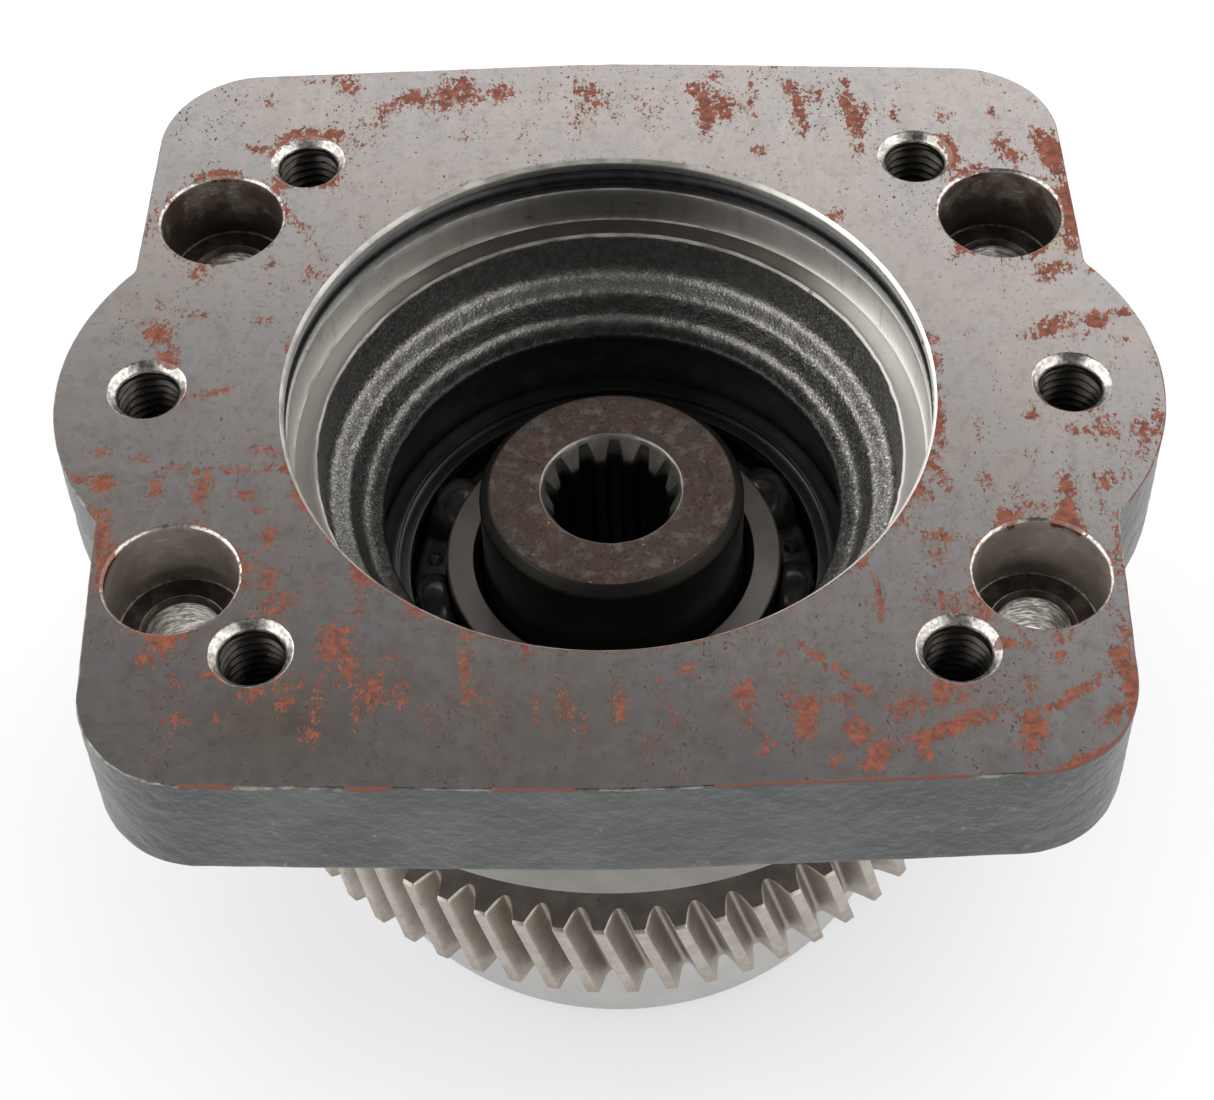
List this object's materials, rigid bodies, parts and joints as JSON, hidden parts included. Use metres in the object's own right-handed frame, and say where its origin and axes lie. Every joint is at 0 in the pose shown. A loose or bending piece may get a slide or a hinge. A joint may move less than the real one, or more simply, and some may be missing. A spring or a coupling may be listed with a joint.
{
  "type": "pump drive gear unit",
  "caption": "Cast flange housing with a pilot bore and bolt holes over a helical gear shaft that turns on ball bearings and drives a pump through an internal spline.",
  "frame": {"origin": "centre of the pump pilot bore, in the plane of the pump mounting face", "axes": "+Z along the shaft axis, out of the pump face; +X through the side lobe of the flange"},
  "size_m": [0.217, 0.1879, 0.1375],
  "materials": {
    "cast_housing": "rough casting with machined, lightly rusted faces",
    "o_ring": "smooth, lightly oiled",
    "gear_steel": "ground and hobbed steel with a brown patina",
    "bearing_steel": "ground satin",
    "ball_steel": "polished",
    "cage_steel": "dark pressed sheet"
  },
  "bodies": {
    "housing": {"flange_housing": "cast_housing", "pilot_o_ring": "o_ring", "spigot_o_ring": "o_ring", "upper_bearing_outer_ring": "bearing_steel"},
    "shaft": {"gear_shaft": "gear_steel", "upper_bearing_inner_ring": "bearing_steel", "lower_bearing_inner_ring": "bearing_steel"},
    "upper_cage": {"upper_bearing_balls": "ball_steel", "upper_bearing_cage_top": "cage_steel", "upper_bearing_cage_bottom": "cage_steel", "upper_bearing_cage_rivets": "cage_steel"},
    "lower_cage": {"lower_bearing_balls": "ball_steel", "lower_bearing_cage_top": "cage_steel", "lower_bearing_cage_bottom": "cage_steel", "lower_bearing_cage_rivets": "cage_steel"},
    "lower_race": {"lower_bearing_outer_ring": "bearing_steel"}
  },
  "joints": [
    {"name": "shaft_spin", "type": "hinge", "parent": "housing", "child": "shaft", "pos_m": [0, 0, -0.0628], "axis": [0, 0, 1], "continuous": true},
    {"name": "upper_cage_roll", "type": "hinge", "parent": "housing", "child": "upper_cage", "pos_m": [0, 0, -0.0628], "axis": [0, 0, 1], "continuous": true},
    {"name": "lower_race_spin", "type": "hinge", "parent": "shaft", "child": "lower_race", "pos_m": [0, 0, -0.1255], "axis": [0, 0, 1], "continuous": true},
    {"name": "lower_cage_roll", "type": "hinge", "parent": "shaft", "child": "lower_cage", "pos_m": [0, 0, -0.1255], "axis": [0, 0, 1], "continuous": true}
  ],
  "couplings": [
    {"joint": "upper_cage_roll", "follows": "shaft_spin", "ratio": 0.40833},
    {"joint": "lower_cage_roll", "follows": "lower_race_spin", "ratio": 0.58954}
  ]
}
